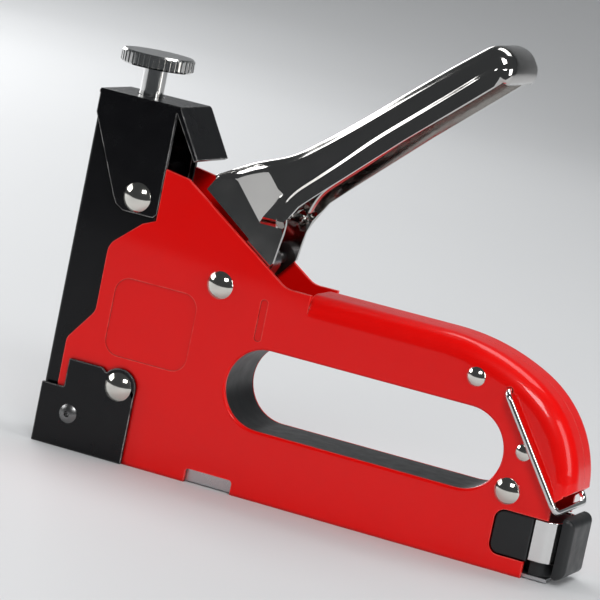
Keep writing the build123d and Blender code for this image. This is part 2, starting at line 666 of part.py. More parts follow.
def magazine_tray():
    """Sliding floor with turned-up sides."""
    inner = TRAY_HALF - TRAY_SHEET
    floor_top = TRAY_FLOOR[1]
    above = TRAY_LIP_TOP + 1
    solid = block(TRAY_X, (-TRAY_HALF, TRAY_HALF), (TRAY_FLOOR[0], TRAY_LIP_TOP))
    solid -= block((TRAY_X[0] - 1, TRAY_X[1] + 1), (-inner, inner), (floor_top, above))
    solid -= block((BUTTON_X[0] - 1.4, BEHIND), (-BEYOND, BEYOND), (floor_top, above))
    for rivet_x, rivet_y in TRAY_RIVETS:
        solid -= pin_z(rivet_x, rivet_y, TRAY_RIVET_R, 0, floor_top + 1)
    nose_end, nose_half = TRAY_NOSE
    side = block((-1, nose_end), (nose_half, BEYOND), (-1, above))
    return solid - side - side.mirror(Plane.XZ)


def staple_rail():
    """Rail on the tray that the staples sit astride, slotted along its top for the pusher."""
    inside_x = (RAIL_X[0] + 1.2, RAIL_X[1] - 1.2)
    inner = RAIL_HALF - RAIL_WALL
    solid = block(RAIL_X, (-RAIL_HALF, RAIL_HALF), (TRAY_FLOOR[1] + GAP, RAIL_TOP))
    solid -= block(inside_x, (-inner, inner), (TRAY_FLOOR[1] + 1.1, RAIL_TOP - RAIL_WALL))
    solid -= block(inside_x, (-RAIL_SLOT_HALF, RAIL_SLOT_HALF), (RAIL_TOP - 2, RAIL_TOP + 1))
    return solid - pin_x(0, ROD_Z, ROD_R, 0, BEHIND)


def guide_rod():
    """Rod that carries the pusher and its spring."""
    return pin_x(0, ROD_Z, ROD_R - 0.01, *ROD_X)


def staple_pusher():
    """Block that pushes the staples forward along the rail."""
    above_rail = RAIL_TOP + 0.25
    inner = PUSHER_HALF - 1.0
    solid = block(PUSHER_X, (-PUSHER_HALF, PUSHER_HALF), PUSHER_Z)
    solid -= block((0, PUSHER_X[1] + 1), (-inner, inner), (0, above_rail))
    tongue = block(COLLAR_X, (-RAIL_SLOT_HALF + 0.3, RAIL_SLOT_HALF - 0.3), (ROD_Z, above_rail + 0.5))
    collar = pin_x(0, ROD_Z, COLLAR_R, *COLLAR_X)
    return solid + tongue + collar - pin_x(0, ROD_Z, ROD_R + 0.06, 0, PUSHER_X[1] + 1)


def pusher_spring():
    """Long light spring on the rod behind the pusher."""
    radius, wire, turns = 2.4, 0.6, 24
    start, end = COLLAR_X[1] + 0.1, RAIL_X[1] - 1.3
    length = end - start - wire
    return Pos(start + wire / 2, 0, ROD_Z) * Rot(0, 90, 0) * coil(radius, wire, length / turns, length)


# ---------------------------------------------------------------- rear latch
def latch_body():
    """Plastic block that closes the back of the rail and holds the pinch buttons."""
    z = (TRAY_FLOOR[1] + GAP, LATCH_TOP)
    neck_x, neck_half = LATCH_NECK
    back_x, back_half = LATCH_BACK
    back = block(back_x, (-back_half, back_half), z)
    corners = [e for e in back.edges().filter_by(Axis.Z) if e.center().X > back_x[1] - 0.1]
    solid = block(neck_x, (-neck_half, neck_half), z) + fillet(corners, LATCH_CORNER_R)
    for x, y in TRAY_RIVETS:
        solid -= pin_z(x, y, TRAY_RIVET_R, 0, TRAY_RIVET_TOP)
    return solid - pin_x(0, ROD_Z, ROD_R, 0, ROD_X[1])


def left_button():
    """Pinch button that fills the window in the shell."""
    solid = block(BUTTON_X, BUTTON_Y, BUTTON_Z)
    front = [e for e in solid.edges().filter_by(Axis.Y) if e.center().X < BUTTON_X[0] + 0.1]
    solid = fillet(front, BUTTON_CORNER_R)
    rim = solid.edges().group_by(Axis.Y)[0]
    return fillet(rim, BUTTON_RIM_R)


def left_button_spring():
    """Bowed leaf between the block and the button."""
    x0, x1 = BUTTON_X[0] + 1.0, BUTTON_X[1] - 1.0
    y_in, y_out = -LATCH_NECK[1] - GAP, BUTTON_Y[1] + 0.1
    z, height, sheet = 8.0, 6.0, 0.3
    mid = (x0 + x1) / 2
    outer = ThreePointArc((x0, y_in - sheet, z), (mid, y_out, z), (x1, y_in - sheet, z))
    inner = ThreePointArc((x1, y_in, z), (mid, y_out + sheet, z), (x0, y_in, z))
    face = make_face(Wire([outer, Line(outer @ 1, inner @ 0), inner, Line(inner @ 1, outer @ 0)]))
    return extrude(face, amount=height, dir=(0, 0, 1))


def latch_plate():
    """Bright plate wrapped round the block behind the buttons."""
    solid = block(PLATE_X, (-PLATE_HALF, PLATE_HALF), PLATE_Z)
    corners = [e for e in solid.edges().filter_by(Axis.Z) if e.center().X > PLATE_X[1] - 0.1]
    solid = fillet(corners, PLATE_CORNER_R)
    inner = PLATE_HALF - PLATE_SHEET
    core = block((PLATE_X[0] - 10, PLATE_X[1] - PLATE_SHEET - 0.1), (-inner, inner), (0, 30))
    corners = [e for e in core.edges().filter_by(Axis.Z) if e.center().X > PLATE_X[0]]
    return solid - fillet(corners, PLATE_CORNER_R - PLATE_SHEET)


def rear_cap():
    """Rounded plastic end that the magazine is pulled out by."""
    solid = block((END_START, OVERALL_LENGTH), (-END_HALF, END_HALF), END_Z)
    back = [e for e in solid.edges() if e.center().X > OVERALL_LENGTH - 0.01]
    solid = fillet(back, END_BACK_R)
    sides = [e for e in solid.edges().filter_by(Axis.X) if abs(e.center().Y) > END_HALF - 0.8]
    return fillet(sides, END_SIDE_R)


def tray_rivets():
    """Rivets that hold the latch block down on the tray."""
    pins = []
    for x, y in TRAY_RIVETS:
        pins.append(pin_z(x, y, TRAY_RIVET_R, TRAY_FLOOR[0] + GAP, TRAY_RIVET_TOP))
    return Compound(children=pins)


# ---------------------------------------------------------------- fixed fasteners and spacers
def lever_rivet():
    """Large rivet that the squeeze lever turns on."""
    return through_rivet(*PIVOT, LEVER_SHANK, *LEVER_HEAD)


def nose_rivet():
    """Rivet through the nose plates, shells, channel and nose block."""
    return through_rivet(*NOSE_RIVET, SHANK, *NOSE_HEAD, BODY_HALF + SHEET)


def upper_rivet():
    """Rivet through the shells high at the back."""
    return through_rivet(*UPPER_RIVET, SMALL_SHANK, *UPPER_HEAD)


def latch_rivet():
    """Rivet through the shells above the pinch buttons."""
    return through_rivet(*LATCH_RIVET, SHANK, *LATCH_HEAD)


def bail_stop_rivet():
    """Small rivet that the folded wire lock rests against."""
    return through_rivet(*BAIL_STOP, SMALL_SHANK, *STOP_HEAD)


def spacer_tubes():
    """Sleeves that hold the shells apart on the rear rivets."""
    half = SHELL_IN - SPACER_END
    tubes = []
    for x, z, r in [(*UPPER_RIVET, SMALL_SHANK), (*LATCH_RIVET, SHANK), (*BAIL_STOP, SMALL_SHANK)]:
        tubes.append(pin_y(x, z, r + SPACER_WALL, -half, half) - pin_y(x, z, r + FIT))
    return Compound(children=tubes)


# ---------------------------------------------------------------- write every piece
def mirrored(piece):
    """The matching piece of the right side."""
    return piece.mirror(Plane.XZ)


shell = left_shell()
nose_plate = left_nose_plate()
button = left_button()
button_spring = left_button_spring()
pieces = {
    "left_shell": shell,
    "right_shell": mirrored(shell),
    "slot_liner": slot_liner(),
    "front_channel": front_channel(),
    "left_nose_plate": nose_plate,
    "right_nose_plate": mirrored(nose_plate),
    "spring_cap": spring_cap(),
    "nose_block": nose_block(),
    "rubber_stop": rubber_stop(),
    "nose_eyelets": nose_eyelets(),
    "cap_rivets": cap_rivets(),
    "cap_nut": cap_nut(),
    "lever_rivet": lever_rivet(),
    "nose_rivet": nose_rivet(),
    "upper_rivet": upper_rivet(),
    "latch_rivet": latch_rivet(),
    "bail_stop_rivet": bail_stop_rivet(),
    "spacer_tubes": spacer_tubes(),
    "feed_channel": feed_channel(),
    "tension_knob": tension_knob(),
    "tension_screw": tension_screw(),
    "spring_seat": spring_seat(),
    "main_spring": main_spring(),
    "plunger": plunger(),
    "driver_blade": driver_blade(),
    "blade_rivets": blade_rivets(),
    "lever_handle": lever_handle(),
    "lifter_arm": lifter_arm(),
    "lifter_rivet": lifter_rivet(),
    "pivot_bush": pivot_bush(),
    "lever_return_spring": lever_return_spring(),
    "bail_wire": bail_wire(),
    "magazine_tray": magazine_tray(),
    "staple_rail": staple_rail(),
    "guide_rod": guide_rod(),
    "staple_pusher": staple_pusher(),
    "pusher_spring": pusher_spring(),
    "latch_body": latch_body(),
    "left_button": button,
    "right_button": mirrored(button),
    "left_button_spring": button_spring,
    "right_button_spring": mirrored(button_spring),
    "latch_plate": latch_plate(),
    "rear_cap": rear_cap(),
    "tray_rivets": tray_rivets(),
}

os.makedirs("parts", exist_ok=True)
for name, piece in pieces.items():
    export_step(Pos(-OVERALL_LENGTH / 2, 0, 0) * piece, f"parts/{name}.step")
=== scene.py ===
import json
import math

import bmesh
import bpy
import numpy as np
from mathutils import Matrix, Vector
from mathutils.geometry import delaunay_2d_cdt


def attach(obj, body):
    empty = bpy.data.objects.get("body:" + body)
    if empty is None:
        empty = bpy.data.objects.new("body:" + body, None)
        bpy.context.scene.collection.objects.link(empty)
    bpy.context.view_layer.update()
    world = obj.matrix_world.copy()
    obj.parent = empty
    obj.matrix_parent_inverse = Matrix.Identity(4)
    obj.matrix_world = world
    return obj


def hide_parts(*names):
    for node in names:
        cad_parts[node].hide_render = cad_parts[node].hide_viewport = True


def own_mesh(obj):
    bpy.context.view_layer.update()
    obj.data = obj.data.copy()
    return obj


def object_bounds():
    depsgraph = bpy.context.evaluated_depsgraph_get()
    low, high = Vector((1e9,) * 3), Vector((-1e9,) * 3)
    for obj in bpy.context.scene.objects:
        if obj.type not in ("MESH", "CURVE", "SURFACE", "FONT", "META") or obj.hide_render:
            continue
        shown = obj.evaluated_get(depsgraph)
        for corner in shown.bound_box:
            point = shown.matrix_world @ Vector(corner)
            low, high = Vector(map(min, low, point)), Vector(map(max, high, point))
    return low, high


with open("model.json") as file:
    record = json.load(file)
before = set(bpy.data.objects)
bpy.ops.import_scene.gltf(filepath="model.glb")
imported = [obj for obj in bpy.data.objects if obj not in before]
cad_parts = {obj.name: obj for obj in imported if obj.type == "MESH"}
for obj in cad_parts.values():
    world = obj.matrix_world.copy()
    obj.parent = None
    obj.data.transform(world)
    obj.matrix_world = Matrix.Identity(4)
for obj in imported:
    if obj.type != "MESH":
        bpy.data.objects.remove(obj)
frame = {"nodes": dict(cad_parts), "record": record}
cad_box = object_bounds()

MM = 0.001


# ---------------------------------------------------------------- camera, floor and light
CAMERA_PLACE = Vector((0.33914, -0.95137, 0.20895))
CAMERA_TARGET = Vector((-0.0132, 0.0, 0.0567))
CAMERA_ROLL = math.radians(11.70)
CAMERA_LENS = 220.3
SENSOR_WIDTH = 36.0
CAMERA_CLIP = (0.01, 50.0)

WORLD_COLOUR = (0.90, 0.95, 1.0, 1)
WORLD_STRENGTH = 0.06
LIGHT_TARGET = (0, 0, 0.06)
# light: its place, its width and height, and its power in watts
LIGHTS = {
    "key_light": ((0.50, -1.00, 0.95), (0.50, 0.40), 9),
    "nose_light": ((-1.15, -0.05, 0.52), (1.1, 0.45), 8),
    "back_light": ((-0.95, 0.85, 0.42), (0.9, 0.5), 7),
    "side_light": ((1.15, -0.20, 0.50), (0.50, 0.80), 6),
    "top_light": ((0.1, 0.35, 1.25), (1.0, 0.5), 7),
}

FLOOR_JOINT = -0.31
FLOOR_REACH = 1.2
FLOOR_BEND = 0.8
FLOOR_STEPS = 12
FLOOR_HALF_WIDTH = 4.0
FLOOR_TURN = math.radians(19.6)
WALL_HEIGHT = 3.0
FLOOR_COLOURS = ((0.60, 0.61, 0.62), (0.63, 0.64, 0.65))
FLOOR_ROUGHNESS = 0.7


def make_camera():
    """Long lens on the left side of the gun, rolled so that the gun leans back."""
    ahead = (CAMERA_TARGET - CAMERA_PLACE).normalized()
    level_right = ahead.cross(Vector((0, 0, 1))).normalized()
    level_up = level_right.cross(ahead)
    right = level_right * math.cos(CAMERA_ROLL) + level_up * math.sin(CAMERA_ROLL)
    up = right.cross(ahead)
    camera = bpy.data.objects.new("camera", bpy.data.cameras.new("camera"))
    bpy.context.scene.collection.objects.link(camera)
    turn = Matrix((right, up, -ahead)).transposed()
    camera.matrix_world = Matrix.Translation(CAMERA_PLACE) @ turn.to_4x4()
    camera.data.lens = CAMERA_LENS
    camera.data.sensor_width = SENSOR_WIDTH
    camera.data.clip_start, camera.data.clip_end = CAMERA_CLIP
    bpy.context.scene.camera = camera


def add_light(name, place, size, power):
    """A soft box that faces the gun."""
    light = bpy.data.lights.new(name, "AREA")
    light.shape = "RECTANGLE"
    light.size, light.size_y = size
    light.energy = power
    lamp = bpy.data.objects.new(name, light)
    bpy.context.scene.collection.objects.link(lamp)
    lamp.location = place
    ahead = Vector(LIGHT_TARGET) - Vector(place)
    lamp.rotation_euler = ahead.to_track_quat("-Z", "Y").to_euler()


def make_studio():
    """Soft boxes round the gun, over a pale floor; its front half keeps out of the reflections."""
    scene = bpy.context.scene
    scene.view_settings.view_transform = "Standard"
    world = bpy.data.worlds.new("world")
    scene.world = world
    world.use_nodes = True
    background = world.node_tree.nodes["Background"]
    background.inputs["Color"].default_value = WORLD_COLOUR
    background.inputs["Strength"].default_value = WORLD_STRENGTH
    for name, (place, size, power) in LIGHTS.items():
        add_light(name, place, size, power)
    paint = floor_paint()
    make_floor("floor", 1, paint)
    front = make_floor("floor_front", -1, paint)
    front.visible_glossy = False
    front.visible_diffuse = False
    front.visible_shadow = False


def make_floor(name, way, paint):
    """Half of the floor, from its joint in front of the gun to a wall behind (1) or in front (-1)."""
    profile = [(FLOOR_JOINT, 0.0), (way * FLOOR_REACH, 0.0)]
    for i in range(1, FLOOR_STEPS + 1):
        turn = math.pi / 2 * i / FLOOR_STEPS
        out = way * (FLOOR_REACH + FLOOR_BEND * math.sin(turn))
        profile.append((out, FLOOR_BEND * (1 - math.cos(turn))))
    profile.append((way * (FLOOR_REACH + FLOOR_BEND), WALL_HEIGHT))
    mesh = bpy.data.meshes.new(name)
    verts = [(x, y, z) for y, z in profile for x in (-FLOOR_HALF_WIDTH, FLOOR_HALF_WIDTH)]
    faces = [(2 * i, 2 * i + 1, 2 * i + 3, 2 * i + 2) for i in range(len(profile) - 1)]
    mesh.from_pydata(verts, [], faces)
    mesh.polygons.foreach_set("use_smooth", [True] * len(mesh.polygons))
    mesh.materials.append(paint)
    floor = bpy.data.objects.new(name, mesh)
    bpy.context.scene.collection.objects.link(floor)
    floor.rotation_euler[2] = FLOOR_TURN
    return floor


# ---------------------------------------------------------------- materials
# the Mix node's colour sockets share their names with its other sockets, so they go by number
MIX_FIRST, MIX_SECOND, MIX_RESULT = 6, 7, 2
SHADER_SAMPLES = 6
# cosine between the rounded and the true normal, at a sharp edge and on a flat face
EDGE_COSINES = (0.86, 0.995)
# share of open sky at a point, in a seam and on an open face; the painted shade is full at the first and
# gone at the second
CREASE_OPENNESS = (0.35, 0.85)
CREASE_REACH = 1.6 * MM
# share of the colour left where the painted shade in corners and seams is full
PAINTED_CREASE_SHADE = 0.25

# detail of the noise, from smooth clouds to broken grain
CLOUDY, PLAIN, FINE, BROKEN = 2.0, 3.0, 4.0, 5.0
# noise scales, in waves per metre
FLOOR_MOTTLE = 3.0
ENAMEL_MOTTLE = 38.0
ENAMEL_PATCHES = 160.0
ENAMEL_CHIPS_AND_GLINTS = 420.0
ENAMEL_PEEL = 900.0
METAL_STAINS = 70.0
METAL_SMUDGES = 120.0
METAL_GRAIN = 500.0
METAL_BRUSHING = 700.0
PLASTIC_MOTTLE = 90.0
PLASTIC_PATCHES = 260.0

# the darkest and lightest shade of a finish, and its smoothest and roughest patch, as shares
ENAMEL_SHADES = (0.94, 1.05)
ENAMEL_SPREAD = (0.85, 1.2)
METAL_SHADES = (0.8, 1.05)
PLASTIC_SHADES = (0.8, 1.25)
PLASTIC_SPREAD = (0.85, 1.15)
# the least and most edge wear and painted highlight along an edge, and the noise values between which it
# grows
CHIP_AND_GLINT_AMOUNTS = (0.25, 1.0)
CHIP_AND_GLINT_NOISE = (0.35, 0.6)

ENAMEL_PEEL_STRENGTH = 0.04
ENAMEL_PEEL_DEPTH = 0.05 * MM
COAT_ROUGHNESS = 0.06
METAL_GRAIN_DEPTH = 0.03 * MM
PLASTIC_GRAIN_DEPTH = 0.08 * MM
PLASTIC_GLOSS = 0.4

# stretch of the noise that makes brush marks
ALONG_X = (0.06, 1.0, 1.0)
ALONG_Z = (1.0, 1.0, 0.06)


def shade(colour, factor):
    """The colour made darker or lighter."""
    return tuple(min(1.0, c * factor) for c in colour)


class Nodes:
    """Small wrapper that adds and links the nodes of one material."""

    def __init__(self, name):
        self.material = bpy.data.materials.new(name)
        self.material.use_nodes = True
        self.tree = self.material.node_tree
        self.shader = self.tree.nodes["Principled BSDF"]
        self.place = self.add("ShaderNodeTexCoord").outputs["Object"]

    def add(self, kind, **settings):
        node = self.tree.nodes.new(kind)
        for key, value in settings.items():
            setattr(node, key, value)
        return node

    def link(self, output, socket):
        self.tree.links.new(output, socket)

    def scaled(self, factors):
        """The object's coordinates, each multiplied by its factor."""
        node = self.add("ShaderNodeMapping")
        node.inputs["Scale"].default_value = factors
        self.link(self.place, node.inputs["Vector"])
        return node.outputs["Vector"]

    def noise(self, scale, detail=PLAIN, stretch=None):
        node = self.add("ShaderNodeTexNoise")
        node.inputs["Scale"].default_value = scale
        node.inputs["Detail"].default_value = detail
        self.link(self.scaled(stretch) if stretch else self.place, node.inputs["Vector"])
        return node.outputs["Fac"]

    def ranged(self, value, low, high, start=0.3, end=0.7):
        """The value mapped from start..end to low..high; most of the noise lies in 0.3 to 0.7."""
        node = self.add("ShaderNodeMapRange")
        node.inputs["From Min"].default_value = start
        node.inputs["From Max"].default_value = end
        node.inputs["To Min"].default_value = low
        node.inputs["To Max"].default_value = high
        self.link(value, node.inputs["Value"])
        return node.outputs["Result"]

    def mixed(self, factor, first, second):
        """The first colour where the factor is 0, the second where it is 1."""
        node = self.add("ShaderNodeMix", data_type="RGBA")
        self.link(factor, node.inputs["Factor"])
        for socket, colour in ((node.inputs[MIX_FIRST], first), (node.inputs[MIX_SECOND], second)):
            if isinstance(colour, tuple):
                socket.default_value = (*colour, 1)
            else:
                self.link(colour, socket)
        return node.outputs[MIX_RESULT]

    def product(self, first, second):
        node = self.add("ShaderNodeMath", operation="MULTIPLY")
        self.link(first, node.inputs[0])
        self.link(second, node.inputs[1])
        return node.outputs[0]

    def mottled(self, scale, colour, shades):
        """The colour in patches from its darkest shade to its lightest."""
        return self.mixed(self.noise(scale, FINE), *(shade(colour, factor) for factor in shades))

    def edges(self, radius):
        """High along rounded edges and corners, low on flat faces."""
        bevel = self.add("ShaderNodeBevel", samples=SHADER_SAMPLES)
        bevel.inputs["Radius"].default_value = radius
        geometry = self.add("ShaderNodeNewGeometry")
        dot = self.add("ShaderNodeVectorMath", operation="DOT_PRODUCT")
        self.link(bevel.outputs["Normal"], dot.inputs[0])
        self.link(geometry.outputs["Normal"], dot.inputs[1])
        return self.ranged(dot.outputs["Value"], 1.0, 0.0, *EDGE_COSINES)

    def shade_in_creases(self, reach):
        """Mask for painted shade: low in corners and seams, high on open faces."""
        node = self.add("ShaderNodeAmbientOcclusion", samples=SHADER_SAMPLES)
        node.inputs["Distance"].default_value = reach
        return self.ranged(node.outputs["AO"], 0.0, 1.0, *CREASE_OPENNESS)

    def bump(self, height, strength, distance):
        node = self.add("ShaderNodeBump")
        node.inputs["Strength"].default_value = strength
        node.inputs["Distance"].default_value = distance
        self.link(height, node.inputs["Height"])
        self.link(node.outputs["Normal"], self.shader.inputs["Normal"])

    def colour(self, value):
        self.link(value, self.shader.inputs["Base Color"])

    def roughness(self, noise, rough, spread):
        """Roughness in patches, from the smoothest share of rough to the roughest."""
        patches = self.ranged(noise, rough * spread[0], rough * spread[1])
        self.link(patches, self.shader.inputs["Roughness"])

    def set(self, **values):
        """Constants on the shader's own sockets; an underscore stands for a space."""
        for key, value in values.items():
            self.shader.inputs[key.replace("_", " ")].default_value = value


def floor_paint():
    """Matt pale paint with faint clouds."""
    n = Nodes("floor")
    n.colour(n.mixed(n.noise(FLOOR_MOTTLE, CLOUDY), *FLOOR_COLOURS))
    n.set(Roughness=FLOOR_ROUGHNESS)
    return n.material


def enamel(name, colour, rough, coat, gloss, edge_wear_and_highlight, wear_and_highlight_width, wear_and_highlight_amount):
    """Sprayed gloss coat: faint mottling, orange peel, painted shade in corners and seams, and thin edge
    wear with a painted highlight along the edges.
    """
    n = Nodes(name)
    # edge wear and painted highlight: a light edge colour laid along rounded edges, broken up by noise
    chips_and_glints = n.ranged(n.noise(ENAMEL_CHIPS_AND_GLINTS, BROKEN), *CHIP_AND_GLINT_AMOUNTS, *CHIP_AND_GLINT_NOISE)
    amount = n.product(n.ranged(n.edges(wear_and_highlight_width), 0.0, wear_and_highlight_amount, 0.0, 1.0), chips_and_glints)
    worn_and_highlit = n.mixed(amount, n.mottled(ENAMEL_MOTTLE, colour, ENAMEL_SHADES), edge_wear_and_highlight)
    # painted shade: darker colour in corners and seams, where ambient occlusion finds little open sky
    n.colour(n.mixed(n.shade_in_creases(CREASE_REACH), shade(colour, PAINTED_CREASE_SHADE), worn_and_highlit))
    n.roughness(n.noise(ENAMEL_PATCHES, FINE), rough, ENAMEL_SPREAD)
    n.bump(n.noise(ENAMEL_PEEL, CLOUDY), ENAMEL_PEEL_STRENGTH, ENAMEL_PEEL_DEPTH)
    n.set(Coat_Weight=coat, Coat_Roughness=COAT_ROUGHNESS, Specular_IOR_Level=gloss)
    return n.material


def metal(name, colour, rough, brushed=None, smudge=0.25, bump=0.08):
    """Plated or bare metal with smudges, and brush marks along one way."""
    n = Nodes(name)
    n.colour(n.mottled(METAL_STAINS, colour, METAL_SHADES))
    n.roughness(n.noise(METAL_SMUDGES, BROKEN), rough, (1 - smudge, 1 + smudge))
    grain = n.noise(METAL_BRUSHING, stretch=brushed) if brushed else n.noise(METAL_GRAIN)
    n.bump(grain, bump, METAL_GRAIN_DEPTH)
    n.set(Metallic=1.0)
    return n.material


def plastic(name, colour, rough, grain, strength):
    """Moulded plastic or rubber with a fine spark-eroded texture."""
    n = Nodes(name)
    n.colour(n.mottled(PLASTIC_MOTTLE, colour, PLASTIC_SHADES))
    n.roughness(n.noise(PLASTIC_PATCHES, FINE), rough, PLASTIC_SPREAD)
    n.bump(n.noise(grain), strength, PLASTIC_GRAIN_DEPTH)
    n.set(Specular_IOR_Level=PLASTIC_GLOSS)
    return n.material


def make_materials():
    """One finish for each material slot of the record."""
    return {
        # the pink edge colour of the red paint is a painted highlight along its rounded edges
        "red_paint": enamel(
            "red_paint", (0.83, 0.002, 0.001), rough=0.34, coat=0.45, gloss=0.12,
            edge_wear_and_highlight=(1.0, 0.16, 0.13), wear_and_highlight_width=0.5 * MM, wear_and_highlight_amount=0.8),
        # the grey edge colour of the black steel is partly bare steel worn through the black, partly a
        # painted highlight along the edges
        "black_steel": enamel(
            "black_steel", (0.003, 0.003, 0.004), rough=0.24, coat=0.10, gloss=0.25,
            edge_wear_and_highlight=(0.60, 0.59, 0.58), wear_and_highlight_width=0.55 * MM, wear_and_highlight_amount=0.95),
        "black_plastic": plastic(
            "black_plastic", (0.014, 0.015, 0.016), rough=0.40, grain=1500.0, strength=0.18),
        "dark_chrome": metal("dark_chrome", (0.62, 0.605, 0.585), rough=0.09, smudge=0.3, bump=0.02),
        "rivet_chrome": metal("rivet_chrome", (0.80, 0.78, 0.72), rough=0.10, smudge=0.3, bump=0.05),
        "dark_nickel": metal("dark_nickel", (0.22, 0.22, 0.22), rough=0.3),
        "bright_chrome": metal("bright_chrome", (0.86, 0.86, 0.85), rough=0.12, smudge=0.3, bump=0.05),
        "zinc_steel": metal(
            "zinc_steel", (0.66, 0.67, 0.68), rough=0.30, brushed=ALONG_X, smudge=0.3, bump=0.15),
        "hard_steel": metal(
            "hard_steel", (0.34, 0.34, 0.35), rough=0.34, brushed=ALONG_Z, smudge=0.3, bump=0.12),
        "spring_steel": metal("spring_steel", (0.46, 0.46, 0.47), rough=0.28),
        "bronze": metal("bronze", (0.55, 0.38, 0.18), rough=0.35),
        "black_rubber": plastic(
            "black_rubber", (0.02, 0.02, 0.02), rough=0.75, grain=900.0, strength=0.25),
    }


# ---------------------------------------------------------------- pieces kept from the frame
# width of the rounding along the edges, in millimetres
EDGE_ROUNDING = {
    "left_shell": 0.55, "right_shell": 0.55, "front_channel": 0.25, "spring_cap": 0.5,
    "left_nose_plate": 0.40, "right_nose_plate": 0.40, "slot_liner": 0.3, "magazine_tray": 0.2,
    "feed_channel": 0.2, "latch_plate": 0.3, "latch_body": 0.3, "staple_rail": 0.2,
    "plunger": 0.4, "driver_blade": 0.15, "spring_seat": 0.3, "staple_pusher": 0.2,
    "cap_nut": 0.3, "nose_block": 0.3, "lifter_arm": 0.4,
}
WELD_GAP = 0.002 * MM
FLAT_ANGLE = math.radians(0.6)
EDGE_ANGLE = math.radians(38)
EDGE_SEGMENTS = 3
NORMAL_WEIGHT = 80


def round_edges(piece, width):
    """Modifiers that join the facets into whole faces and round their edges."""
    piece.modifiers.new("weld", "WELD").merge_threshold = WELD_GAP
    flat = piece.modifiers.new("flat", "DECIMATE")
    flat.decimate_type = "DISSOLVE"
    flat.angle_limit = FLAT_ANGLE
    bevel = piece.modifiers.new("bevel", "BEVEL")
    bevel.width = width
    bevel.segments = EDGE_SEGMENTS
    bevel.limit_method = "ANGLE"
    bevel.angle_limit = EDGE_ANGLE
    bevel.miter_outer = "MITER_ARC"
    bevel.harden_normals = False
    normals = piece.modifiers.new("normals", "WEIGHTED_NORMAL")
    normals.keep_sharp = False
    normals.weight = NORMAL_WEIGHT


def keep_frame_pieces(materials):
    """Every node keeps its shape and gets its real finish, and the listed ones get rounded edges."""
    slots = {part["node"]: part["material_slot"] for part in frame["record"]["subparts"]}
    for node, piece in frame["nodes"].items():
        piece.data.materials.clear()
        piece.data.materials.append(materials[slots[node]])
        piece.data.polygons.foreach_set("use_smooth", [True] * len(piece.data.polygons))
        if node in EDGE_ROUNDING:
            round_edges(piece, EDGE_ROUNDING[node] * MM)


# ---------------------------------------------------------------- squeeze lever
# outlines are (x, z) in millimetres from the nose and the base, as in the model of the gun
NOSE_X = cad_box[0][0] / MM
PIVOT = (47.4, 56.7)
EYE_R = 7.0
EYE_TURN = (20.0, -205.0)
EYE_STEPS = 24
BUSH_HOLE_R = 4.25
BUSH_HOLE_TURN = (0, 345)
BUSH_HOLE_STEPS = 23

# the back of the lever, up to the round tip
LEVER_BACK = [(38.6, 86.2), (48.2, 91.7), (59.3, 96.4), (67.2, 102.0), (77.7, 110.8), (92.1, 123.6),
              (107.6, 137.0)]
BACK_STEPS = 8
TIP_CENTRE = (112.5, 133.1)
TIP_R = 6.1
TIP_TURN = (131.0, -38.0)
TIP_STEPS = 16
# the hollow front of the lever, from the tip down to the eye, and the rear of its arm above the eye
LEVER_FRONT = [(114.2, 128.4), (92.0, 108.4), (70.8, 88.3), (66.0, 83.6), (63.4, 79.2), (62.0, 74.5),
               (60.8, 66.0), (56.9, 61.2)]
ARM_REAR = [(47.0, 66.0), (52.6, 71.0), (37.2, 81.8)]
OUTLINE_GAP = 2.5

# rounded ledge where the side steps out to the flange, and its half width at the arm and the tip
LEDGE = [(59.2, 66.0), (59.5, 73.0), (60.4, 78.8), (62.0, 83.6), (64.6, 87.6), (70.2, 93.1),
         (76.0, 98.8), (84.4, 107.3), (94.9, 116.8), (105.4, 126.3), (110.0, 130.6), (113.6, 133.2)]
LEDGE_STEPS = 4
LEDGE_RUN = [-1.0, -0.67, -0.33, 0.0, 0.33, 0.67, 1.0]
LEDGE_WIDTH = (0.28, 0.95)
LEDGE_GROWTH_X = (62.0, 100.0)

# flat facet between the narrow arm and the wide grip: its fold, its depth, and its lower end
FOLD_START = Vector((44.9, 87.2))
FOLD_END = Vector((54.6, 76.4))
FOLD_WAY = (FOLD_END - FOLD_START).normalized()
FOLD_ACROSS = Vector((-FOLD_WAY.y, FOLD_WAY.x))
FACET_REACH = 10.2
FACET_SHORTER = 5.0
FACET_STEP = [(54.2, 74.6), (54.6, 76.6), (60.4, 86.1)]
FACET_STEP_WIDTH = 0.3
FOLD_GAP = 1.4

# below the skirt the side draws in to the arm
SKIRT_X = (54.0, 64.0)
SKIRT_Z = (76.2, 78.4)
SKIRT_GAP = 1.2

ARM_HALF = 9.4
GRIP_HALF = 11.6
FLANGE_HALF = 12.5
LEVER_SHEET = 1.2

# rounding between the back and the sides; it shrinks over the first and last points of the back
LEVER_CORNER_R = 3.4
TIP_CORNER_R = 4.6
TIP_GROWTH_X = (98.0, 110.0)
START_SHARE, START_POINTS = 0.35, 8
END_SHARE, END_POINTS = 0.55, 12
CORNER_STEPS = 6

# spacing of the points that fill the sides, and how near they come to a line
FILL_GAP = 1.7
FILL_CLEARANCE = 0.55
LINE_TOLERANCE = 1e-5
MERGE_GAP = 0.02 * MM


def smooth_line(points, steps):
    """Points along a smooth curve through the given ones."""
    p = [Vector(q) for q in points]
    p = [2 * p[0] - p[1]] + p + [2 * p[-1] - p[-2]]
    line = []
    for a, b, c, d in zip(p, p[1:], p[2:], p[3:]):
        for i in range(steps):
            t = i / steps
            line.append(0.5 * (2 * b + (c - a) * t + (2 * a - 5 * b + 4 * c - d) * t * t
                               + (3 * b - a - 3 * c + d) * t ** 3))
    return line + [p[-2]]


